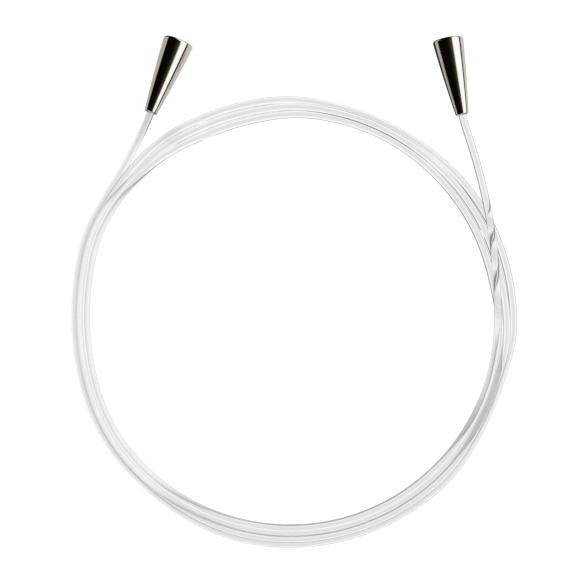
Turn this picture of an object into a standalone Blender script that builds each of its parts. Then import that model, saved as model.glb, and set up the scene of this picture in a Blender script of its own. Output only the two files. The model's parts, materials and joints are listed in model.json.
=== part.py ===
"""Cable of an interchangeable circular knitting needle.

A clear nylon cord lies coiled flat on a table in a little under four turns. Both of its ends leave
the coil on the same side, and each carries a polished tapered connector with a threaded socket in its
wide face, where a needle tip screws in. A crimped sleeve holds the cord inside each connector, so the
connector can swivel on the cord.

The cord is one flexible piece. Here its free stretches are cut into short rigid links, with a narrow
gap at each bending point, and the coil between them is one link.

Dimensions are in millimetres and degrees, and objects are placed in metres. The origin is the middle
of the footprint on the table, +Z is up and +Y points from the coil to the connectors.
"""

import math

import bpy
from mathutils import Vector

MM = 0.001
UP = Vector((0.0, 0.0, 1.0))

# Cord
CORD_RADIUS = 1.2
RING_SPACING = 5.2
LINK_GAP = 0.6

# Coil, an inward spiral whose turns share a nearly round ring. The inner edge is the radius of the
# innermost turn's centre line, and the width runs from there to the outermost turn's. Angles count
# from +X towards +Y.
COIL_CENTRE = Vector((-1.3, -8.93, 0.0))
INNER_EDGE = 66.2
RING_WIDTH = 5.3
COIL_START = 149.0
COIL_END = 1440.0

# Where the ring leaves that shape: the angles at which it starts to, does so fully, begins to come
# back and is back, then how far its inner edge moves out and how much wider it gets.
RING_BENDS = (
    (2.0, 18.0, 44.0, 70.0, -0.2, 0.0),
    (22.0, 66.0, 72.0, 106.0, 0.0, -1.6),
    (84.0, 106.0, 112.0, 130.0, -1.0, 0.0),
    (124.0, 146.0, 152.0, 170.0, 0.7, 0.0),
    (154.0, 182.0, 186.0, 218.0, -1.25, 0.0),
    (114.0, 152.0, 226.0, 262.0, 0.0, -1.4),
    (312.0, 336.0, 342.0, 358.0, 0.0, -1.4),
)

# Neighbouring turns are evenly spaced over the width. Every other turn lies on the table, and the ones
# between them lie in the grooves on top. Past the left end there are four turns, a third of the width
# apart, and past the right end three, half of it. A turn is counted from where the ring is wide
# enough for all of them to lie on the table.
TURN_PITCH = 2.6
TURN_CHANGE = 110.0
FOUR_TURNS_APART = 1 / 3
THREE_TURNS_APART = 1 / 2
FOUR_TURNS_FROM = (116.0, 146.0)
THREE_TURNS_FROM = (344.0, 374.0)

# The last turn climbs off the others, and its end crosses over them on its way out.
CLIMB_START = 1408.0
CLIMB_END = 1430.0
CLIMB_HEIGHT = 3.0

# Connector, measured along its axis from the narrow end
TAPER_LENGTH = 24.6
NARROW_RADIUS = 2.12
WIDE_RADIUS = 4.9
TAPER_BULGE = 0.15
RIM_ROUNDING = 0.75
NARROW_ROUNDING = 0.35
CORD_BORE_RADIUS = 1.35
CORD_BORE_LENGTH = 9.0
CAVITY_RADIUS = 2.4
SOCKET_STEP = 16.0
SOCKET_RADIUS = 3.3
TURNED_SIDES = 24

# Threaded bush, pressed into the wide end
BUSH_RADIUS = 3.26
BUSH_BORE_RADIUS = 1.65
BUSH_START = 16.3
BUSH_END = 24.4
BUSH_CHAMFER = 0.4

# Crimped sleeve on the cord's end, retained behind the cord bore
SLEEVE_RADIUS = 1.95
SLEEVE_HEAD_RADIUS = 2.1
SLEEVE_BORE_RADIUS = 1.25
SLEEVE_START = 9.3
SLEEVE_END = 14.3
SLEEVE_HEAD_LENGTH = 1.0
CRIMP_DEPTH = 0.25
CRIMP_WIDTH = 0.8
CRIMP_PLACES = (10.8, 12.2)
CORD_END = 13.7

# Places of the two connectors: the narrow end in plan, measured from the coil's centre, and the aim of
# the axis: its heading, measured from +Y towards +X, and its dip towards the wide end. The wide rim
# rests on the table, and the stiff cord holds the narrow end up.
LEFT_NARROW_END = (-44.17, 66.12)
LEFT_AIM = (21.1, 5.0)
RIGHT_NARROW_END = (54.7, 65.53)
RIGHT_AIM = (-10.55, 2.5)

# Free stretches of cord: how far each runs on along its tangent at the coil and at the connector, and
# over what length it changes height on its way to the connector
LEFT_REACH = (10.0, 10.0)
RIGHT_REACH = (39.0, 8.0)
LEFT_RAMP = 24.0
RIGHT_RAMP = 30.0

# Bending points, counted from the coil outwards
LEFT_LINKS = 9
RIGHT_LINKS = 4
LINK_LENGTH_LEFT = 14.5
LINK_LENGTH_RIGHT = 14.2
LAST_LINK_FREE_LENGTH = 10.0

NYLON = ("clear_nylon", (0.86, 0.88, 0.86), 0.12, 0.0)
NICKEL = ("polished_nickel", (0.76, 0.73, 0.67), 0.08, 1.0)
BRASS = ("bush_brass", (0.72, 0.55, 0.27), 0.25, 1.0)
STEEL = ("sleeve_steel", (0.56, 0.57, 0.58), 0.3, 1.0)


def clear_scene():
    for item in list(bpy.data.objects):
        bpy.data.objects.remove(item, do_unlink=True)


def new_collection(name):
    group = bpy.data.collections.new(name)
    bpy.context.scene.collection.children.link(group)
    return group


def material(spec):
    name, colour, roughness, metallic = spec
    made = bpy.data.materials.get(name)
    if made is None:
        made = bpy.data.materials.new(name)
        made.use_nodes = True
        shader = made.node_tree.nodes["Principled BSDF"]
        shader.inputs["Base Color"].default_value = (*colour, 1.0)
        shader.inputs["Roughness"].default_value = roughness
        shader.inputs["Metallic"].default_value = metallic
    return made


# ---- the cord's centre line ----

def ease(value, start, end):
    """Smooth step from 0 at start to 1 at end, level at both."""
    part = min(max((value - start) / (end - start), 0.0), 1.0)
    return (1.0 - math.cos(math.pi * part)) / 2


def ring(angle):
    """Inner edge and width of the coil's ring at an angle."""
    inner, width = INNER_EDGE, RING_WIDTH
    turned = angle % 360.0
    for start, full, fading, end, outward, wider in RING_BENDS:
        share = ease(turned, start, full) - ease(turned, fading, end)
        inner += outward * share
        width += wider * share
    return inner, width


def turn_share(angle):
    """How far apart neighbouring turns lie at an angle, as a share of the ring's width."""
    turned = (angle - TURN_CHANGE) % 360.0 + TURN_CHANGE
    four = ease(turned, *FOUR_TURNS_FROM) - ease(turned, *THREE_TURNS_FROM)
    return THREE_TURNS_APART + (FOUR_TURNS_APART - THREE_TURNS_APART) * four


def coil_point(angle):
    """Point of the coil at an angle, through all its turns."""
    turn = math.floor((angle - TURN_CHANGE) / 360.0)
    share = turn_share(angle)
    inner, width = ring(angle)
    before_opposite = (angle - TURN_CHANGE) % 360.0 < 180.0
    lane = (3 - turn) * share if before_opposite else max(0.0, 1.0 - turn * share)
    groove = math.sqrt(max(0.0, TURN_PITCH ** 2 - (width * share) ** 2))
    height = groove if turn % 2 else 0.0
    height += (CLIMB_HEIGHT - height) * ease(angle, CLIMB_START, CLIMB_END)
    radius = inner + width * lane
    turned = math.radians(angle)
    return COIL_CENTRE + Vector((
        radius * math.cos(turned), radius * math.sin(turned), CORD_RADIUS + height))


def connector_axis(aim):
    heading, dip = math.radians(aim[0]), math.radians(aim[1])
    level = math.cos(dip)
    return Vector((level * math.sin(heading), level * math.cos(heading), -math.sin(dip)))


def narrow_end(place, aim):
    """Middle of the narrow end, at the height where the wide rim just touches the table."""
    dip = math.radians(aim[1])
    height = (WIDE_RADIUS - RIM_ROUNDING) * math.cos(dip) + RIM_ROUNDING
    height += (TAPER_LENGTH - RIM_ROUNDING) * math.sin(dip)
    return COIL_CENTRE + Vector((place[0], place[1], height))


def free_stretch(start, start_tangent, end, end_tangent, reach, ramp):
    """Cord from the coil to a connector's narrow end: a Bezier curve in plan, level until the ramp."""
    steps = 120
    flat_axis = Vector((end_tangent.x, end_tangent.y, 0.0))
    handles = (start, start + start_tangent * reach[0], end - flat_axis * reach[1], end)
    points = []
    for step in range(steps + 1):
        t = step / steps
        weights = ((1 - t) ** 3, 3 * t * (1 - t) ** 2, 3 * t * t * (1 - t), t ** 3)
        point = Vector((0.0, 0.0, 0.0))
        for weight, handle in zip(weights, handles):
            point += weight * handle
        points.append(point)
    end_slope = end_tangent.z / flat_axis.length
    for point in points:
        to_go = math.hypot(end.x - point.x, end.y - point.y)
        u = max(1.0 - to_go / ramp, 0.0)
        start_share = 2 * u ** 3 - 3 * u ** 2 + 1
        slope_share = (u ** 3 - u ** 2) * ramp * end_slope
        point.z = start.z * start_share + end.z * (1 - start_share) + slope_share
    return points


def inside_connector(start, axis):
    steps = 14
    return [start + axis * (CORD_END * step / steps) for step in range(1, steps + 1)]


def centre_line():
    """The whole cord, from its end in the left connector to its end in the right one."""
    left_end = narrow_end(LEFT_NARROW_END, LEFT_AIM)
    right_end = narrow_end(RIGHT_NARROW_END, RIGHT_AIM)
    left_axis = connector_axis(LEFT_AIM)
    right_axis = connector_axis(RIGHT_AIM)
    start = coil_point(COIL_START)
    start_tangent = start - coil_point(COIL_START + 0.5)
    end = coil_point(COIL_END)
    left = free_stretch(start, start_tangent.normalized(), left_end, left_axis, LEFT_REACH, LEFT_RAMP)
    left += inside_connector(left_end, left_axis)
    right = free_stretch(end, Vector((0.0, 1.0, 0.0)), right_end, right_axis, RIGHT_REACH, RIGHT_RAMP)
    right += inside_connector(right_end, right_axis)
    points = left[::-1]
    angle = COIL_START + 1.0
    while angle < COIL_END:
        points.append(coil_point(angle))
        angle += 1.0
    return points + right


class Cord:
    """The centre line, addressed by the distance along it."""

    def __init__(self, points):
        self.points = points
        self.distances = [0.0]
        for before, after in zip(points, points[1:]):
            self.distances.append(self.distances[-1] + (after - before).length)
        self.length = self.distances[-1]

    def at(self, distance):
        index = 1
        while index < len(self.distances) - 1 and self.distances[index] < distance:
            index += 1
        low = self.distances[index - 1]
        share = (distance - low) / (self.distances[index] - low)
        return self.points[index - 1].lerp(self.points[index], share)

    def stretch(self, start, end):
        count = max(2, math.ceil((end - start) / RING_SPACING))
        return [self.at(start + (end - start) * step / count) for step in range(count + 1)]


# ---- shapes ----

def cord_link(name, points, pivot, group):
    """A stretch of cord with flat ends, its origin on the pivot that it bends about."""
    data = bpy.data.curves.new(name, "CURVE")
    data.dimensions = "3D"
    data.bevel_depth = CORD_RADIUS * MM
    data.bevel_resolution = 2
    data.use_fill_caps = True
    spline = data.splines.new("POLY")
    spline.points.add(len(points) - 1)
    for target, point in zip(spline.points, points):
        target.co = (*((point - pivot) * MM), 1.0)
    spline.use_smooth = True
    item = bpy.data.objects.new(name, data)
    item.location = pivot * MM
    data.materials.append(material(NYLON))
    group.objects.link(item)
    return item


def turned_piece(name, profile, place, axis, spec, group):
    """A hollow turned piece: a closed profile of (radius, distance) pairs spun about the axis."""
    data = bpy.data.meshes.new(name)
    corners = [(radius * MM, 0.0, distance * MM) for radius, distance in profile]
    edges = [(index, (index + 1) % len(corners)) for index in range(len(corners))]
    data.from_pydata(corners, edges, [])
    item = bpy.data.objects.new(name, data)
    item.location = place * MM
    item.rotation_mode = "QUATERNION"
    item.rotation_quaternion = UP.rotation_difference(axis)
    spin = item.modifiers.new("spin", "SCREW")
    spin.axis = "Z"
    spin.angle = math.tau
    spin.steps = TURNED_SIDES
    spin.render_steps = TURNED_SIDES
    spin.use_merge_vertices = True
    spin.merge_threshold = 0.00001
    spin.use_smooth_shade = True
    data.materials.append(material(spec))
    group.objects.link(item)
    return item


def rounded_corner(radius, distance, rounding, start, steps):
    """Quarter circle of the given rounding about a centre, from the start angle down by 90 degrees."""
    points = []
    for step in range(steps + 1):
        turned = math.radians(start - 90.0 * step / steps)
        points.append((radius + rounding * math.cos(turned), distance + rounding * math.sin(turned)))
    return points


def taper_side():
    """Points between the rim and the narrow end, on a line that bows out a little."""
    steps = 5
    high, low = TAPER_LENGTH - RIM_ROUNDING, NARROW_ROUNDING
    points = []
    for step in range(1, steps):
        share = step / steps
        bow = TAPER_BULGE * 4 * share * (1 - share)
        radius = WIDE_RADIUS + (NARROW_RADIUS - WIDE_RADIUS) * share + bow
        points.append((radius, high + (low - high) * share))
    return points


def shell_profile():
    """Down the tapered outside from the wide rim, then up through the bore, cavity and socket."""
    rim = rounded_corner(WIDE_RADIUS - RIM_ROUNDING, TAPER_LENGTH - RIM_ROUNDING, RIM_ROUNDING, 90.0, 5)
    narrow = rounded_corner(
        NARROW_RADIUS - NARROW_ROUNDING, NARROW_ROUNDING, NARROW_ROUNDING, 0.0, 3)
    return rim + taper_side() + narrow + [
        (CORD_BORE_RADIUS, 0.0),
        (CORD_BORE_RADIUS, CORD_BORE_LENGTH),
        (CAVITY_RADIUS, CORD_BORE_LENGTH),
        (CAVITY_RADIUS, SOCKET_STEP),
        (SOCKET_RADIUS, SOCKET_STEP),
        (SOCKET_RADIUS, TAPER_LENGTH),
    ]


def bush_profile():
    return [
        (BUSH_RADIUS, BUSH_END),
        (BUSH_RADIUS, BUSH_START + BUSH_CHAMFER),
        (BUSH_RADIUS - BUSH_CHAMFER, BUSH_START),
        (BUSH_BORE_RADIUS, BUSH_START),
        (BUSH_BORE_RADIUS, BUSH_END - BUSH_CHAMFER),
        (BUSH_BORE_RADIUS + BUSH_CHAMFER, BUSH_END),
    ]


def sleeve_profile():
    profile = [
        (SLEEVE_HEAD_RADIUS, SLEEVE_END),
        (SLEEVE_HEAD_RADIUS, SLEEVE_END - SLEEVE_HEAD_LENGTH),
        (SLEEVE_RADIUS, SLEEVE_END - SLEEVE_HEAD_LENGTH),
    ]
    for place in reversed(CRIMP_PLACES):
        profile.append((SLEEVE_RADIUS, place + CRIMP_WIDTH / 2))
        profile.append((SLEEVE_RADIUS - CRIMP_DEPTH, place))
        profile.append((SLEEVE_RADIUS, place - CRIMP_WIDTH / 2))
    profile.append((SLEEVE_RADIUS, SLEEVE_START))
    profile.append((SLEEVE_BORE_RADIUS, SLEEVE_START))
    profile.append((SLEEVE_BORE_RADIUS, SLEEVE_END))
    return profile


# ---- assembly ----

def add_connector(side, plan_place, aim, group):
    axis = connector_axis(aim)
    place = narrow_end(plan_place, aim)
    turned_piece(side + "_taper_shell", shell_profile(), place, axis, NICKEL, group)
    turned_piece(side + "_threaded_bush", bush_profile(), place, axis, BRASS, group)
    turned_piece(side + "_crimp_sleeve", sleeve_profile(), place, axis, STEEL, group)


def bending_points(links, link_length):
    """Distances of the bending points from the cord's end, nearest the coil first."""
    nearest = CORD_END + LAST_LINK_FREE_LENGTH
    return [nearest + link_length * (links - 1 - link) for link in range(links)]


def add_cord(group):
    cord = Cord(centre_line())
    left = bending_points(LEFT_LINKS, LINK_LENGTH_LEFT)
    right = [cord.length - place for place in bending_points(RIGHT_LINKS, LINK_LENGTH_RIGHT)]
    half_gap = LINK_GAP / 2
    coil = cord.stretch(left[0] + half_gap, right[0] - half_gap)
    cord_link("cord_coil", coil, COIL_CENTRE, group)
    for index, pivot in enumerate(left):
        end = left[index + 1] + half_gap if index + 1 < len(left) else 0.0
        points = cord.stretch(end, pivot - half_gap)
        cord_link("left_cord_%d" % (index + 1), points, cord.at(pivot), group)
    for index, pivot in enumerate(right):
        end = right[index + 1] - half_gap if index + 1 < len(right) else cord.length
        points = cord.stretch(pivot + half_gap, end)
        cord_link("right_cord_%d" % (index + 1), points, cord.at(pivot), group)


def build():
    clear_scene()
    group = new_collection("circular_needle_cable")
    add_cord(group)
    add_connector("left", LEFT_NARROW_END, LEFT_AIM, group)
    add_connector("right", RIGHT_NARROW_END, RIGHT_AIM, group)


build()
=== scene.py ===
"""Looks of the coiled cable: clear nylon cord, polished nickel connectors, threaded brass bushes.

The cord is drawn as one smooth strand through the CAD links. It is cut into short pieces in the middle
of each link, and each cut piece spans one joint.
"""

import json
import math

import bmesh
import bpy
import numpy as np
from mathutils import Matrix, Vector

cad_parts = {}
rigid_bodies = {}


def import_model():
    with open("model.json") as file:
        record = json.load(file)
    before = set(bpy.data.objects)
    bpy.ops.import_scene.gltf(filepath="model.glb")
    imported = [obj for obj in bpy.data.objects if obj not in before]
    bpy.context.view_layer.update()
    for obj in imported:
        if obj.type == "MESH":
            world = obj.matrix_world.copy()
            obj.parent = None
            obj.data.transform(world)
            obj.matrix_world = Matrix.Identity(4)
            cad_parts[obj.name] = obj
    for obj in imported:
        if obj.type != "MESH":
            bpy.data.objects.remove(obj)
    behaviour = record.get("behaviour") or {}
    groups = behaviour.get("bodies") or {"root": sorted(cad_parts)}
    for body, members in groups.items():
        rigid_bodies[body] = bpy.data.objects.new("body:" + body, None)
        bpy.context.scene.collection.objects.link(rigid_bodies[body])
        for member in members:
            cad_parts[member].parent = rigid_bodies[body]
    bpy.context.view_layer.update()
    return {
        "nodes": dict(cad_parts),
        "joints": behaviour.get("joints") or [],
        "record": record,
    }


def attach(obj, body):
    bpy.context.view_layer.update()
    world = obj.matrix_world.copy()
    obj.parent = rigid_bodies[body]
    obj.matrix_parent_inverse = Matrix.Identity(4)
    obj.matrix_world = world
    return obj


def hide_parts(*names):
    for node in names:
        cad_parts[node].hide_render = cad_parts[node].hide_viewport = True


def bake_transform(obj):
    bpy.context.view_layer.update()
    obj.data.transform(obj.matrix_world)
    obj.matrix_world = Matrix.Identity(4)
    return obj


MM = 0.001

# Cord
CORD_RADIUS = 1.215 * MM
CORD_SIDES = 28
CORD_STEP = 1.3 * MM
CAD_RING_REACH = 1.3 * MM
COIL_TAIL = 7.0 * MM

# Connector, measured along its axis from the narrow end, in millimetres
TAPER_LENGTH = 24.6
NARROW_RADIUS = 2.12
WIDE_RADIUS = 4.9
TAPER_BULGE = 0.15
RIM_ROUNDING = 0.75
NARROW_ROUNDING = 0.35
CORD_BORE_RADIUS = 1.35
CORD_BORE_LENGTH = 9.0
CAVITY_RADIUS = 2.4
SOCKET_STEP = 16.0
SOCKET_RADIUS = 3.3
SHELL_SIDES = 128

BUSH_RADIUS = 3.285
BUSH_BORE_RADIUS = 1.65
BUSH_START = 16.3
BUSH_END = 24.3
THREAD_DEPTH = 0.36
THREAD_PITCH = 0.7
THREAD_SIDES = 56

SLEEVE_RADIUS = 1.95
SLEEVE_HEAD_RADIUS = 2.1
SLEEVE_BORE_RADIUS = 1.235
SLEEVE_START = 9.3
SLEEVE_END = 14.3
CRIMP_PLACES = (10.8, 12.2)

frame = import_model()
record = frame["record"]
joints = {joint["name"]: joint for joint in frame["joints"]}


# ---- meshes ----

def new_mesh(name, vertices, faces, smooth=True):
    mesh = bpy.data.meshes.new(name)
    mesh.from_pydata([tuple(v) for v in vertices], [], faces)
    work = bmesh.new()
    work.from_mesh(mesh)
    bmesh.ops.recalc_face_normals(work, faces=work.faces)
    work.to_mesh(mesh)
    work.free()
    mesh.polygons.foreach_set("use_smooth", [smooth] * len(mesh.polygons))
    item = bpy.data.objects.new(name, mesh)
    bpy.context.scene.collection.objects.link(item)
    return item


def sharp_by_angle(item, degrees):
    item.data.set_sharp_from_angle(angle=math.radians(degrees))


def add_uv(item, uv_of_vertex, wrap_columns):
    """UVs from per-vertex pairs. Around the seam, u is lifted by one so that no face runs backwards."""
    mesh = item.data
    layer = mesh.uv_layers.new(name="along")
    for polygon in mesh.polygons:
        us = [uv_of_vertex[mesh.loops[i].vertex_index][0] for i in polygon.loop_indices]
        lift = max(us) - min(us) > 0.5 and len(us) <= wrap_columns
        for loop_index, u in zip(polygon.loop_indices, us):
            v = uv_of_vertex[mesh.loops[loop_index].vertex_index][1]
            layer.data[loop_index].uv = (u + 1.0 if lift and u < 0.5 else u, v)


# ---- the cord's centre line, from the CAD links ----

def welded(node):
    """A CAD node's vertices with duplicates joined, and its edges between them."""
    mesh = frame["nodes"][node].data
    keys, points, index_of = {}, [], []
    for vertex in mesh.vertices:
        key = tuple(round(c * 1e6) for c in vertex.co)
        if key not in keys:
            keys[key] = len(points)
            points.append(np.array(vertex.co, float))
        index_of.append(keys[key])
    neighbours = [set() for _ in points]
    for edge in mesh.edges:
        a, b = index_of[edge.vertices[0]], index_of[edge.vertices[1]]
        if a != b:
            neighbours[a].add(b)
            neighbours[b].add(a)
    return np.array(points), neighbours


def ring_centres(node, pivot):
    """Centres of a link's rings, from the end at the pivot outwards."""
    points, neighbours = welded(node)
    reach = np.linalg.norm(points - np.array(pivot), axis=1)
    layer = set(np.flatnonzero(reach < CAD_RING_REACH).tolist())
    seen = set(layer)
    centres = []
    while layer:
        centres.append(points[sorted(layer)].mean(axis=0))
        layer = {n for i in layer for n in neighbours[i]} - seen
        seen |= layer
    return centres


def chain(side):
    """The bending joints of a side, from the coil outwards, with the CAD cord node each one moves."""
    rows = []
    body = "coil"
    while True:
        found = [j for j in joints.values() if j["parent"] == body and j["child"].startswith(side + "_link")]
        if not found:
            return rows
        joint = found[0]
        node = next(n for n in record["behaviour"]["bodies"][joint["child"]] if "cord" in n)
        rows.append((joint, node))
        body = joint["child"]


def spline(points):
    """Natural cubic spline through the points, by chord length: (lengths, second derivatives)."""
    lengths = np.concatenate([[0.0], np.cumsum(np.linalg.norm(np.diff(points, axis=0), axis=1))])
    count = len(points)
    steps = np.diff(lengths)
    matrix = np.zeros((count, count))
    right = np.zeros((count, 3))
    matrix[0, 0] = matrix[-1, -1] = 1.0
    for i in range(1, count - 1):
        matrix[i, i - 1] = steps[i - 1]
        matrix[i, i] = 2 * (steps[i - 1] + steps[i])
        matrix[i, i + 1] = steps[i]
        right[i] = 6 * ((points[i + 1] - points[i]) / steps[i] - (points[i] - points[i - 1]) / steps[i - 1])
    return lengths, np.linalg.solve(matrix, right)


def spline_at(points, lengths, bends, distance):
    i = int(np.clip(np.searchsorted(lengths, distance) - 1, 0, len(points) - 2))
    step = lengths[i + 1] - lengths[i]
    a = (lengths[i + 1] - distance) / step
    b = 1.0 - a
    curve = ((a ** 3 - a) * bends[i] + (b ** 3 - b) * bends[i + 1]) * step * step / 6
    return a * points[i] + b * points[i + 1] + curve


left_chain, right_chain = chain("left"), chain("right")
left_rows = [ring_centres(node, joint["pos_m"]) for joint, node in left_chain]
right_rows = [ring_centres(node, joint["pos_m"]) for joint, node in right_chain]
coil_rows = ring_centres("cord_coil", left_chain[0][0]["pos_m"])
line = []
for row in left_rows[::-1]:
    line += row[::-1]
line += coil_rows
for row in right_rows:
    line += row
line = np.array(line)
line_lengths, line_bends = spline(line)
CORD_LENGTH = float(line_lengths[-1])


def line_at(distance):
    return spline_at(line, line_lengths, line_bends, distance)


dense = np.arange(0.0, CORD_LENGTH, 0.2 * MM)
dense_points = np.array([line_at(d) for d in dense])


def pivot_distances():
    """Distance along the cord of each bending joint, on the left and on the right, coil side first."""
    sides = []
    for rows, from_end in ((left_chain, False), (right_chain, True)):
        found = []
        for joint, _ in rows:
            gaps = np.linalg.norm(dense_points - np.array(joint["pos_m"]), axis=1)
            half = dense < CORD_LENGTH / 2
            gaps[half if from_end else ~half] = 1.0
            found.append(float(dense[gaps.argmin()]))
        sides.append(found)
    return sides


left_pivots, right_pivots = pivot_distances()


def cord_piece(name, start, end):
    """A closed stretch of cord between two distances along it."""
    count = max(3, math.ceil((end - start) / CORD_STEP))
    places = np.linspace(start, end, count + 1)
    centres = np.array([line_at(d) for d in places])
    ahead = np.array([line_at(min(d + 0.1 * MM, CORD_LENGTH)) for d in places])
    behind = np.array([line_at(max(d - 0.1 * MM, 0.0)) for d in places])
    tangents = ahead - behind
    tangents /= np.linalg.norm(tangents, axis=1)[:, None]
    up = np.array([0.0, 0.0, 1.0])
    vertices, uvs, faces = [], [], []
    turns = np.arange(CORD_SIDES) * math.tau / CORD_SIDES
    for place, centre, tangent in zip(places, centres, tangents):
        normal = up - tangent * tangent[2]
        normal /= np.linalg.norm(normal)
        side = np.cross(tangent, normal)
        for turn in turns:
            vertices.append(centre + CORD_RADIUS * (math.cos(turn) * normal + math.sin(turn) * side))
            uvs.append((turn / math.tau, place))
    for ring in range(count):
        a, b = ring * CORD_SIDES, (ring + 1) * CORD_SIDES
        for k in range(CORD_SIDES):
            n = (k + 1) % CORD_SIDES
            faces.append((a + k, a + n, b + n, b + k))
    last = count * CORD_SIDES
    faces.append(tuple(range(CORD_SIDES - 1, -1, -1)))
    faces.append(tuple(last + k for k in range(CORD_SIDES)))
    item = new_mesh(name, vertices, faces)
    sharp_by_angle(item, 40)
    add_uv(item, uvs, 4)
    return item


# ---- turned pieces ----

def connector_frame(side):
    """Narrow end, axis and two directions across it, in the row frame."""
    swivel = joints[side + "_swivel"]
    origin = np.array(swivel["pos_m"], float)
    axis = np.array(swivel["axis"], float)
    axis /= np.linalg.norm(axis)
    across = np.cross(axis, [0.0, 0.0, 1.0])
    across /= np.linalg.norm(across)
    return origin, axis, across, np.cross(across, axis)


def spun(name, side, profile, sides, radius_at=None):
    """A closed profile of (radius, distance) pairs in millimetres, spun about the connector's axis."""
    origin, axis, across, over = connector_frame(side)
    vertices, uvs, faces = [], [], []
    steps = [math.hypot(b[0] - a[0], b[1] - a[1]) for a, b in zip(profile, profile[1:])]
    path = np.concatenate([[0.0], np.cumsum(steps)])
    for index, (radius, distance) in enumerate(profile):
        for k in range(sides):
            turn = k * math.tau / sides
            r = radius if radius_at is None else radius_at(index, radius, distance, turn)
            ray = math.cos(turn) * over + math.sin(turn) * across
            vertices.append(origin + (distance * axis + r * ray) * MM)
            uvs.append((turn / math.tau, path[index] * MM))
    count = len(profile)
    for index in range(count):
        a, b = index * sides, (index + 1) % count * sides
        for k in range(sides):
            n = (k + 1) % sides
            faces.append((a + k, b + k, b + n, a + n))
    item = new_mesh(name, vertices, faces)
    add_uv(item, uvs, 4)
    return item


def arc(radius, distance, rounding, start, end, steps):
    points = []
    for step in range(steps + 1):
        turned = math.radians(start + (end - start) * step / steps)
        points.append((radius + rounding * math.cos(turned), distance + rounding * math.sin(turned)))
    return points


def shell_profile():
    """Outside from the narrow end to the rim, then down the socket, cavity and cord bore."""
    length = TAPER_LENGTH - RIM_ROUNDING - NARROW_ROUNDING
    slope, bow = (WIDE_RADIUS - NARROW_RADIUS) / length, 4 * TAPER_BULGE / length
    narrow_tilt, rim_tilt = math.degrees(math.atan(slope + bow)), math.degrees(math.atan(slope - bow))
    narrow = arc(NARROW_RADIUS - NARROW_ROUNDING, NARROW_ROUNDING, NARROW_ROUNDING, -90.0, -narrow_tilt, 8)
    rim = arc(WIDE_RADIUS - RIM_ROUNDING, TAPER_LENGTH - RIM_ROUNDING, RIM_ROUNDING, -rim_tilt, 90.0, 16)
    taper = []
    rows = 30
    for row in range(1, rows):
        share = row / rows
        low, high = narrow[-1], rim[0]
        radius = low[0] + (high[0] - low[0]) * share + TAPER_BULGE * 4 * share * (1 - share)
        taper.append((radius, low[1] + (high[1] - low[1]) * share))
    socket = arc(SOCKET_RADIUS + 0.18, TAPER_LENGTH - 0.18, 0.18, 90.0, 180.0, 5)
    inside = [
        (SOCKET_RADIUS, SOCKET_STEP + 0.08),
        (SOCKET_RADIUS - 0.08, SOCKET_STEP),
        (CAVITY_RADIUS + 0.05, SOCKET_STEP),
        (CAVITY_RADIUS, SOCKET_STEP - 0.05),
        (CAVITY_RADIUS, CORD_BORE_LENGTH + 0.1),
        (CAVITY_RADIUS - 0.1, CORD_BORE_LENGTH),
        (CORD_BORE_RADIUS + 0.05, CORD_BORE_LENGTH),
        (CORD_BORE_RADIUS, CORD_BORE_LENGTH - 0.05),
        (CORD_BORE_RADIUS, 0.14),
        (CORD_BORE_RADIUS + 0.04, 0.04),
        (CORD_BORE_RADIUS + 0.14, 0.0),
    ]
    return narrow + taper + rim + socket + inside


def bush_piece(name, side):
    """Brass bush with a right-hand thread cut in its bore."""
    step = THREAD_PITCH / 10
    rows = int(round((BUSH_END - BUSH_START) / step))
    bore = [(BUSH_BORE_RADIUS, BUSH_START + (BUSH_END - BUSH_START) * row / rows) for row in range(rows + 1)]
    outside = [
        (BUSH_BORE_RADIUS + 0.62, BUSH_END),
        (BUSH_RADIUS - 0.2, BUSH_END),
        (BUSH_RADIUS - 0.06, BUSH_END - 0.06),
        (BUSH_RADIUS, BUSH_END - 0.2),
        (BUSH_RADIUS, BUSH_START + 0.4),
        (BUSH_RADIUS - 0.12, BUSH_START + 0.12),
        (BUSH_RADIUS - 0.4, BUSH_START),
        (BUSH_BORE_RADIUS + 0.62, BUSH_START),
    ]

    def radius_at(index, radius, distance, turn):
        if index > rows:
            return radius
        phase = (distance / THREAD_PITCH - turn / math.tau) % 1.0
        wave = 1.0 - abs(2 * phase - 1.0)
        cut = THREAD_DEPTH * min(max((wave - 0.12) / 0.68, 0.0), 1.0)
        from_end = min(distance - BUSH_START, BUSH_END - distance)
        chamfer = max(0.0, 0.5 - from_end)
        return max(radius + cut, radius + chamfer)

    return spun(name, side, bore + outside, THREAD_SIDES, radius_at)


def sleeve_piece(name, side):
    """Crimped sleeve: a head, and two rolled crimps with six jaw marks each."""
    outside = []
    rows = 40
    for row in range(rows + 1):
        distance = SLEEVE_END - 1.0 + (SLEEVE_START - SLEEVE_END + 1.0) * row / rows
        outside.append((SLEEVE_RADIUS, distance))
    head = [
        (SLEEVE_BORE_RADIUS, SLEEVE_END - 0.1),
        (SLEEVE_BORE_RADIUS + 0.1, SLEEVE_END),
        (SLEEVE_HEAD_RADIUS - 0.12, SLEEVE_END),
        (SLEEVE_HEAD_RADIUS, SLEEVE_END - 0.12),
        (SLEEVE_HEAD_RADIUS, SLEEVE_END - 0.9),
        (SLEEVE_HEAD_RADIUS - 0.05, SLEEVE_END - 1.0),
    ]
    tail = [(SLEEVE_BORE_RADIUS + 0.1, SLEEVE_START), (SLEEVE_BORE_RADIUS, SLEEVE_START + 0.1)]
    first = len(head)

    def radius_at(index, radius, distance, turn):
        if not first <= index <= first + rows:
            return radius
        depth = 0.0
        for place in CRIMP_PLACES:
            along = max(0.0, 1.0 - ((distance - place) / 0.55) ** 2)
            depth = max(depth, along * (0.2 + 0.05 * math.cos(6 * turn)))
        edge = max(0.0, 0.12 - (distance - SLEEVE_START))
        return radius - depth - edge

    return spun(name, side, head + outside + tail, 72, radius_at)


# ---- materials ----

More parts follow.
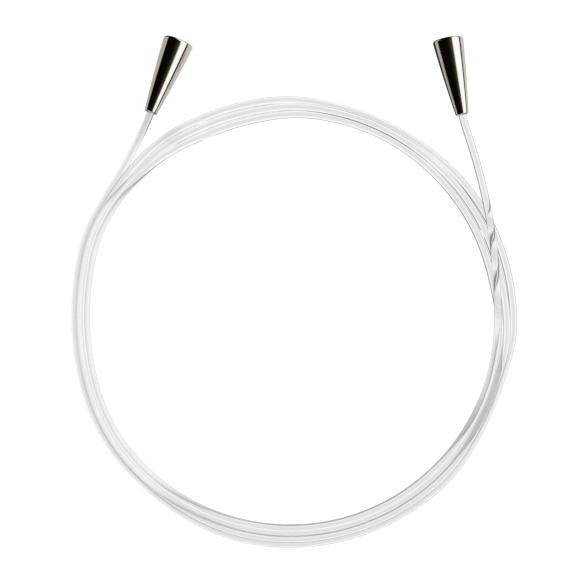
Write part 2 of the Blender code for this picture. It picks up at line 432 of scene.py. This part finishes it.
class Nodes:
    """Short hand for building a material's nodes."""

    def __init__(self, name, id_block=None):
        self.material = id_block or bpy.data.materials.new(name)
        self.material.use_nodes = True
        self.tree = self.material.node_tree
        self.tree.nodes.clear()

    def node(self, kind, **values):
        made = self.tree.nodes.new(kind)
        for key, value in values.items():
            if key.startswith("_"):
                setattr(made, key[1:], value)
        for key, value in values.items():
            if not key.startswith("_"):
                self.put(made, key, value)
        return made

    def put(self, made, key, value):
        if key[:1] == "i" and key[1:].isdigit():
            socket = made.inputs[int(key[1:])]
        else:
            socket = made.inputs[key.replace("__", " ")]
        if isinstance(value, bpy.types.NodeSocket):
            self.tree.links.new(value, socket)
        elif isinstance(value, bpy.types.Node):
            self.tree.links.new(value.outputs[0], socket)
        else:
            socket.default_value = value

    def math(self, operation, a, b=0.0, clamp=False):
        return self.node("ShaderNodeMath", _operation=operation, _use_clamp=clamp, i0=a, i1=b).outputs[0]

    def noise(self, vector, scale, detail=3.0, roughness=0.5):
        made = self.node("ShaderNodeTexNoise", Vector=vector, Scale=scale, Detail=detail,
                         Roughness=roughness)
        return made.outputs[0]

    def remap(self, value, low, high, to_low, to_high):
        return self.node("ShaderNodeMapRange", Value=value, From__Min=low, From__Max=high,
                         To__Min=to_low, To__Max=to_high).outputs[0]

    def mix(self, share, a, b):
        made = self.node("ShaderNodeMix", _data_type="RGBA")
        self.put(made, "i0", share)
        self.put(made, "i6", a)
        self.put(made, "i7", b)
        return made.outputs[2]

    def scaled(self, vector, x, y, z=1.0):
        return self.node("ShaderNodeMapping", Vector=vector, Scale=(x, y, z)).outputs[0]

    def bump(self, height, strength, distance):
        return self.node("ShaderNodeBump", Height=height, Strength=strength, Distance=distance).outputs[0]

    def mix_shaders(self, share, a, b):
        return self.node("ShaderNodeMixShader", i0=share, i1=a.outputs[0], i2=b.outputs[0])


def rgb(r, g, b):
    return (r, g, b, 1.0)


def grey(value):
    return rgb(value, value, value)


def nylon():
    """Clear drawn monofilament: faint draw lines along it, a little haze, and rubbed patches."""
    n = Nodes("clear_nylon_cord")
    uv = n.node("ShaderNodeUVMap", _uv_map="along").outputs[0]
    place = n.node("ShaderNodeTexCoord").outputs["Object"]
    draw = n.noise(n.scaled(uv, 20.0, 40.0), 1.0, 2.0)
    haze = n.noise(place, 90.0, 4.0)
    rub = n.noise(place, 900.0, 3.0)
    rough = n.math("ADD", n.remap(haze, 0.35, 0.75, 0.004, 0.018), n.remap(rub, 0.55, 0.8, 0.0, 0.02))
    colour = n.mix(n.remap(haze, 0.3, 0.7, 0.0, 1.0), rgb(0.985, 0.984, 0.982), rgb(0.955, 0.953, 0.95))
    normal = n.bump(draw, 0.06, 0.00004)
    shader = n.node("ShaderNodeBsdfPrincipled", Base__Color=colour, Roughness=rough, IOR=1.5,
                    Transmission__Weight=1.0, Normal=normal)
    clear = n.node("ShaderNodeBsdfTransparent", Color=rgb(0.935, 0.935, 0.935))
    light = n.node("ShaderNodeLightPath")
    mixed = n.mix_shaders(light.outputs["Is Shadow Ray"], shader, clear)
    n.node("ShaderNodeOutputMaterial", Surface=mixed.outputs[0])
    return n.material


def seam():
    """The unseen faces where two stretches of the one cord meet."""
    n = Nodes("cord_cut_face")
    clear = n.node("ShaderNodeBsdfTransparent", Color=rgb(1.0, 1.0, 1.0))
    n.node("ShaderNodeOutputMaterial", Surface=clear.outputs[0])
    return n.material


def turned_metal(name, light_colour, dark_colour, smooth, worn, mark_strength):
    """Turned and polished metal: rings round the axis, fine scratches, smudges and rough flecks."""
    n = Nodes(name)
    uv = n.node("ShaderNodeUVMap", _uv_map="along").outputs[0]
    place = n.node("ShaderNodeTexCoord").outputs["Object"]
    rings = n.noise(n.scaled(uv, 2.0, 9000.0), 1.0, 3.0, 0.6)
    scratches = n.noise(n.scaled(uv, 60.0, 1500.0), 1.0, 4.0, 0.7)
    smudge = n.noise(place, 260.0, 4.0, 0.6)
    fleck = n.noise(place, 3200.0, 2.0)
    smudged, scratched = n.remap(smudge, 0.35, 0.7, 0.0, 0.7), n.remap(scratches, 0.4, 0.7, 0.0, 0.3)
    tone = n.math("ADD", smudged, scratched, clamp=True)
    colour = n.mix(tone, light_colour, dark_colour)
    rough = n.math("ADD", n.remap(smudge, 0.3, 0.75, smooth, worn), n.remap(fleck, 0.62, 0.8, 0.0, 0.12))
    height = n.math("ADD", n.math("MULTIPLY", rings, 0.7), n.math("MULTIPLY", scratches, 0.3))
    normal = n.bump(height, mark_strength, 0.00001)
    shader = n.node("ShaderNodeBsdfPrincipled", Base__Color=colour, Metallic=1.0, Roughness=rough,
                    Normal=normal)
    n.node("ShaderNodeOutputMaterial", Surface=shader.outputs[0])
    return n.material


NYLON = nylon()
CUT_FACE = seam()
NICKEL = turned_metal("polished_nickel", rgb(0.74, 0.715, 0.66), rgb(0.66, 0.63, 0.565), 0.045, 0.12, 0.10)
BRASS = turned_metal("machined_brass", rgb(0.78, 0.6, 0.29), rgb(0.6, 0.43, 0.18), 0.16, 0.34, 0.5)
STEEL = turned_metal("crimped_steel", rgb(0.6, 0.6, 0.61), rgb(0.44, 0.44, 0.45), 0.2, 0.4, 0.6)


def dress_cord(item):
    item.data.materials.append(NYLON)
    item.data.materials.append(CUT_FACE)
    for polygon in list(item.data.polygons)[-2:]:
        polygon.material_index = 1
    return item


# ---- the cord ----

def add_cord():
    coil_start = left_pivots[0] + COIL_TAIL
    coil_end = right_pivots[0] - COIL_TAIL
    coil = dress_cord(cord_piece("cord_coil_strand", coil_start, coil_end))
    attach(coil, "coil")
    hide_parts("cord_coil")
    sides = (("left", left_chain, left_pivots, -1.0), ("right", right_chain, right_pivots, 1.0))
    for side, rows, pivots, outward in sides:
        inner = coil_start if side == "left" else coil_end
        for index, ((joint, node), pivot) in enumerate(zip(rows, pivots)):
            if index + 1 < len(pivots):
                outer = (pivot + pivots[index + 1]) / 2
            else:
                outer = pivot + outward * COIL_TAIL
            name = "%s_cord_bend_%d" % (side, index + 1)
            item = dress_cord(cord_piece(name, min(inner, outer), max(inner, outer)))
            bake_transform(item)
            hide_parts(node)
            inner = outer
        tip = 0.0 if side == "left" else CORD_LENGTH
        item = dress_cord(cord_piece(side + "_cord_end", min(inner, tip), max(inner, tip)))
        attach(item, rows[-1][0]["child"])


def add_connector(side):
    shell = spun(side + "_connector_shell", side, shell_profile(), SHELL_SIDES)
    sharp_by_angle(shell, 40)
    shell.data.materials.append(NICKEL)
    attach(shell, side + "_connector")
    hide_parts(side + "_taper_shell")
    bush = bush_piece(side + "_bush_thread", side)
    sharp_by_angle(bush, 35)
    bush.data.materials.append(BRASS)
    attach(bush, side + "_connector")
    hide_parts(side + "_threaded_bush")
    sleeve = sleeve_piece(side + "_sleeve_crimped", side)
    sharp_by_angle(sleeve, 35)
    sleeve.data.materials.append(STEEL)
    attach(sleeve, joints[side + "_swivel"]["parent"])
    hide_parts(side + "_crimp_sleeve")


add_cord()
add_connector("left")
add_connector("right")


# ---- stage ----

FLOOR_SIZE = 40.0
VIEW_WIDTH = 0.18656
FOCUS_HEIGHT = 0.0015
COIL_MIDDLE = Vector((-0.0013, -0.0089, 0.0))
VIEW_CENTRE = Vector((-0.00082, 0.00041, 0.0))
CAMERA_HEIGHT = 0.6
SENSOR = 36.0
FLOOR_DROP = 0.00002
FLOOR_BRIGHTNESS = 1.1
WORLD_THROUGH_NYLON = 0.66

# The floor and world in the metal: their tones on the left and right, paler on the right as painted light
# and darker on the left as painted shade, and the walls by their lean from -20 degrees to the soft box at
# 30.
LEFT_TONE = rgb(0.60, 0.59, 0.555)
RIGHT_TONE = rgb(0.76, 0.75, 0.715)
GAP_TONE = rgb(0.03, 0.025, 0.016)
WALL_LEAN = (-20.0, 30.0)
WALL_TONES = (
    (0.0, rgb(0.004, 0.003, 0.002)),
    (0.36, rgb(0.014, 0.012, 0.007)),
    (0.56, rgb(0.04, 0.034, 0.02)),
    (0.74, rgb(0.075, 0.066, 0.042)),
    (0.84, rgb(0.2, 0.19, 0.15)),
    (0.93, rgb(1.1, 1.08, 1.02)),
    (1.0, rgb(1.36, 1.39, 1.45)),
)

# The floor through the cord, in painted shade. The level goes by how steeply a ray meets the floor, from
# level with it to straight down, greyer straight below. The painted shade of far rays goes round the coil,
# from -180 to 180 degrees off +X.
NYLON_LEVEL = ((0.0, 1.0), (0.84, 1.0), (0.93, 0.96), (0.96, 0.84), (1.0, 0.81))
NYLON_FAR_SHADE = (
    (0.0, 0.25), (0.07, 0.4), (0.13, 0.5), (0.36, 0.5), (0.45, 0.4), (0.5, 0.55), (0.54, 0.85),
    (0.77, 0.85), (0.86, 0.7), (0.92, 0.4), (1.0, 0.25),
)


def smooth_step(n, value, low, high, to_low=0.0, to_high=1.0):
    return n.node("ShaderNodeMapRange", _interpolation_type="SMOOTHSTEP", Value=value, From__Min=low,
                  From__Max=high, To__Min=to_low, To__Max=to_high).outputs[0]


def ramp(n, value, stops, mode="EASE"):
    """Colour ramp over 0 to 1: stops of (place, colour)."""
    made = n.node("ShaderNodeValToRGB", Fac=value)
    made.color_ramp.interpolation = mode
    elements = made.color_ramp.elements
    while len(elements) > 1:
        elements.remove(elements[-1])
    elements[0].position = stops[0][0]
    elements[0].color = stops[0][1]
    for place, colour in stops[1:]:
        elements.new(place).color = colour
    return made.outputs[0]


def floor_in_metal(n, away, steep, place):
    """How the table looks mirrored in the connectors: painted light, paler on the right, and painted shade,
    dark to the front and back.

    These tones are painted for the camera's view from above. They don't come from any light.
    """
    flat = n.math("SQRT", n.math("SUBTRACT", 1.0, n.math("MULTIPLY", steep, steep)))
    flat = n.math("MAXIMUM", flat, 0.001)
    toward_y = n.math("DIVIDE", n.math("MULTIPLY", away.outputs[1], -1.0), flat)
    # Painted light and shade: the floor is paler on the right, where the light falls, and darker on the
    # left.
    to_left = smooth_step(n, away.outputs[0], -0.15, 0.15)
    tone = n.mix(to_left, RIGHT_TONE, LEFT_TONE)
    toward_x = n.math("DIVIDE", n.math("MULTIPLY", away.outputs[0], -1.0), flat)
    # Painted shade: the floor seen to the front and back of each connector goes dark.
    back = n.math("MULTIPLY", smooth_step(n, toward_y, 0.6, 0.75),
                  smooth_step(n, toward_x, 0.06, 0.22, 1.0, 0.0))
    front = smooth_step(n, toward_y, -0.85, -0.6, 1.0, 0.0)
    ends = n.math("SUBTRACT", 1.0, n.math("MULTIPLY", n.math("MAXIMUM", back, front), 0.97))
    # Painted dark strip on the floor for shallow rays to the right, carrying on the dark gap below the soft
    # box.
    edge = n.math("MULTIPLY", smooth_step(n, toward_y, -0.3, 0.0), n.math("SUBTRACT", 1.0, to_left))
    edge = n.math("SUBTRACT", 1.0, n.math("MULTIPLY", edge, smooth_step(n, steep, 0.10, 0.19, 1.0, 0.0)))
    # Painted shadow: the floor to the left of each connector goes dark, reaching further on the right
    # connector.
    reach = n.remap(place.outputs[0], -0.02, 0.02, 0.86, 0.5)
    shade = n.math("MULTIPLY", to_left, smooth_step(n, n.math("SUBTRACT", steep, reach), 0.0, 0.12))
    shade = n.math("SUBTRACT", 1.0, n.math("MULTIPLY", shade, 0.94))
    return tone, n.math("MULTIPLY", n.math("MULTIPLY", ends, edge), shade)


def floor_in_nylon(n, away, steep, place):
    """How the table looks through the cord: bright beside it, with painted shade greyer straight below and
    darker far off.

    These tones are painted for the camera's view from above, and stay with the floor. Far rays get the most
    painted shade under the turns on the right, and near the left connector, whose dark metal shows in its
    tail as a painted reflection.
    """
    level = ramp(n, steep, [(share, grey(value)) for share, value in NYLON_LEVEL])
    around = n.math("ARCTAN2", n.math("SUBTRACT", place.outputs[1], COIL_MIDDLE.y),
                    n.math("SUBTRACT", place.outputs[0], COIL_MIDDLE.x))
    far_shade = ramp(n, n.remap(around, -math.pi, math.pi, 0.0, 1.0),
                [(share, grey(value)) for share, value in NYLON_FAR_SHADE], "LINEAR")
    # Painted reflection and shade of the left connector's dark metal, where its tail runs near it.
    by_metal = n.math("MULTIPLY", smooth_step(n, place.outputs[1], 0.044, 0.056),
                      smooth_step(n, place.outputs[0], -0.04, -0.034, 1.0, 0.0))
    from_right = smooth_step(n, away.outputs[0], 0.0, 0.25, 0.5, 0.95)
    far_shade = n.math("MAXIMUM", far_shade, n.math("MULTIPLY", by_metal, from_right))
    level = n.math("MULTIPLY", level, n.math("SUBTRACT", 1.0, n.math("MULTIPLY", by_metal, 0.22)))
    reach = n.math("MAXIMUM", n.remap(place.outputs[0], 0.035, 0.055, 0.66, 0.88),
                   n.math("MULTIPLY", by_metal, 0.88))
    far = smooth_step(n, n.math("SUBTRACT", steep, reach), -0.32, 0.0, 1.0, 0.0)
    return n.math("MULTIPLY", level, n.math("SUBTRACT", 1.0, n.math("MULTIPLY", far, far_shade)))


def add_floor():
    half = FLOOR_SIZE / 2
    corners = [(-half, -half, 0), (half, -half, 0), (half, half, 0), (-half, half, 0)]
    floor = new_mesh("floor", corners, [(0, 1, 2, 3)], False)
    floor.location.z = -FLOOR_DROP
    n = Nodes("studio_floor")
    geometry = n.node("ShaderNodeNewGeometry")
    away = n.node("ShaderNodeSeparateXYZ", Vector=geometry.outputs["Incoming"])
    place = n.node("ShaderNodeSeparateXYZ", Vector=geometry.outputs["Position"])
    steep = n.math("ABSOLUTE", away.outputs[2])
    light = n.node("ShaderNodeLightPath")
    # The floor's painted light, shade and shadow are seen only in the metal and through the cord; the camera
    # sees it evenly white.
    tone, level = floor_in_metal(n, away, steep, place)
    mirrored = n.node("ShaderNodeEmission", Color=tone, Strength=level)
    through = n.node("ShaderNodeEmission", Color=grey(1.0), Strength=floor_in_nylon(n, away, steep, place))
    seen = n.node("ShaderNodeEmission", Color=grey(1.0), Strength=FLOOR_BRIGHTNESS)
    mixed = n.mix_shaders(light.outputs["Is Transmission Ray"], mirrored, through)
    mixed = n.mix_shaders(light.outputs["Is Camera Ray"], mixed, seen)
    n.node("ShaderNodeOutputMaterial", Surface=mixed.outputs[0])
    floor.data.materials.append(n.material)


def add_world():
    """Studio of one wide soft box on the right and dark walls, as the connectors mirror it.

    The camera sees it plain white, and the cord sees it an even grey.
    """
    world = bpy.data.worlds.new("studio")
    bpy.context.scene.world = world
    n = Nodes("studio", world)
    split = n.node("ShaderNodeSeparateXYZ", Vector=n.node("ShaderNodeTexCoord").outputs["Generated"])
    lean = n.math("MULTIPLY", n.math("ARCTAN2", split.outputs[0], split.outputs[2]), 180.0 / math.pi)
    aside = n.math("DIVIDE", split.outputs[1], n.math("MAXIMUM", split.outputs[0], 0.01))
    aside = n.node("ShaderNodeClamp", Value=aside, Min=-0.7, Max=0.15).outputs[0]
    far_side = n.math("ADD", n.math("MULTIPLY", aside, 28.9), 79.6)
    wall = ramp(n, n.remap(lean, *WALL_LEAN, 0.0, 1.0), WALL_TONES, "LINEAR")
    past = smooth_step(n, n.math("SUBTRACT", lean, far_side), -3.0, 1.0)
    low = smooth_step(n, split.outputs[2], 0.055, 0.075, 1.0, 0.0)
    beside = n.math("MULTIPLY", smooth_step(n, n.math("ABSOLUTE", split.outputs[0]), 0.6, 0.75), low)
    to_right = n.math("GREATER_THAN", split.outputs[0], 0.0)
    slant = n.math("MULTIPLY", split.outputs[1], n.math("SUBTRACT", 1.0, n.math("MULTIPLY", to_right, 2.0)))
    beside = n.math("MULTIPLY", beside, smooth_step(n, slant, 0.1, 0.25))
    gap = n.mix(beside, GAP_TONE, n.mix(to_right, LEFT_TONE, RIGHT_TONE))
    studio_colour = n.mix(n.math("MAXIMUM", past, beside), wall, gap)
    light = n.node("ShaderNodeLightPath")
    studio = n.node("ShaderNodeBackground", Color=studio_colour, Strength=1.0)
    seen = n.node("ShaderNodeBackground", Color=grey(1.0), Strength=1.0)
    through = n.node("ShaderNodeBackground", Color=grey(WORLD_THROUGH_NYLON), Strength=1.0)
    mixed = n.mix_shaders(light.outputs["Is Transmission Ray"], studio, through)
    mixed = n.mix_shaders(light.outputs["Is Camera Ray"], mixed, seen)
    n.node("ShaderNodeOutputWorld", Surface=mixed.outputs[0])


def add_camera():
    data = bpy.data.cameras.new("camera")
    data.sensor_width = SENSOR
    data.lens = SENSOR * (CAMERA_HEIGHT - FOCUS_HEIGHT) / VIEW_WIDTH
    data.clip_start, data.clip_end = 0.05, 50.0
    camera = bpy.data.objects.new("camera", data)
    camera.location = VIEW_CENTRE + Vector((0.0, 0.0, CAMERA_HEIGHT))
    bpy.context.scene.collection.objects.link(camera)
    bpy.context.scene.camera = camera


add_floor()
add_world()
add_camera()
bpy.context.scene.view_settings.view_transform = "Standard"
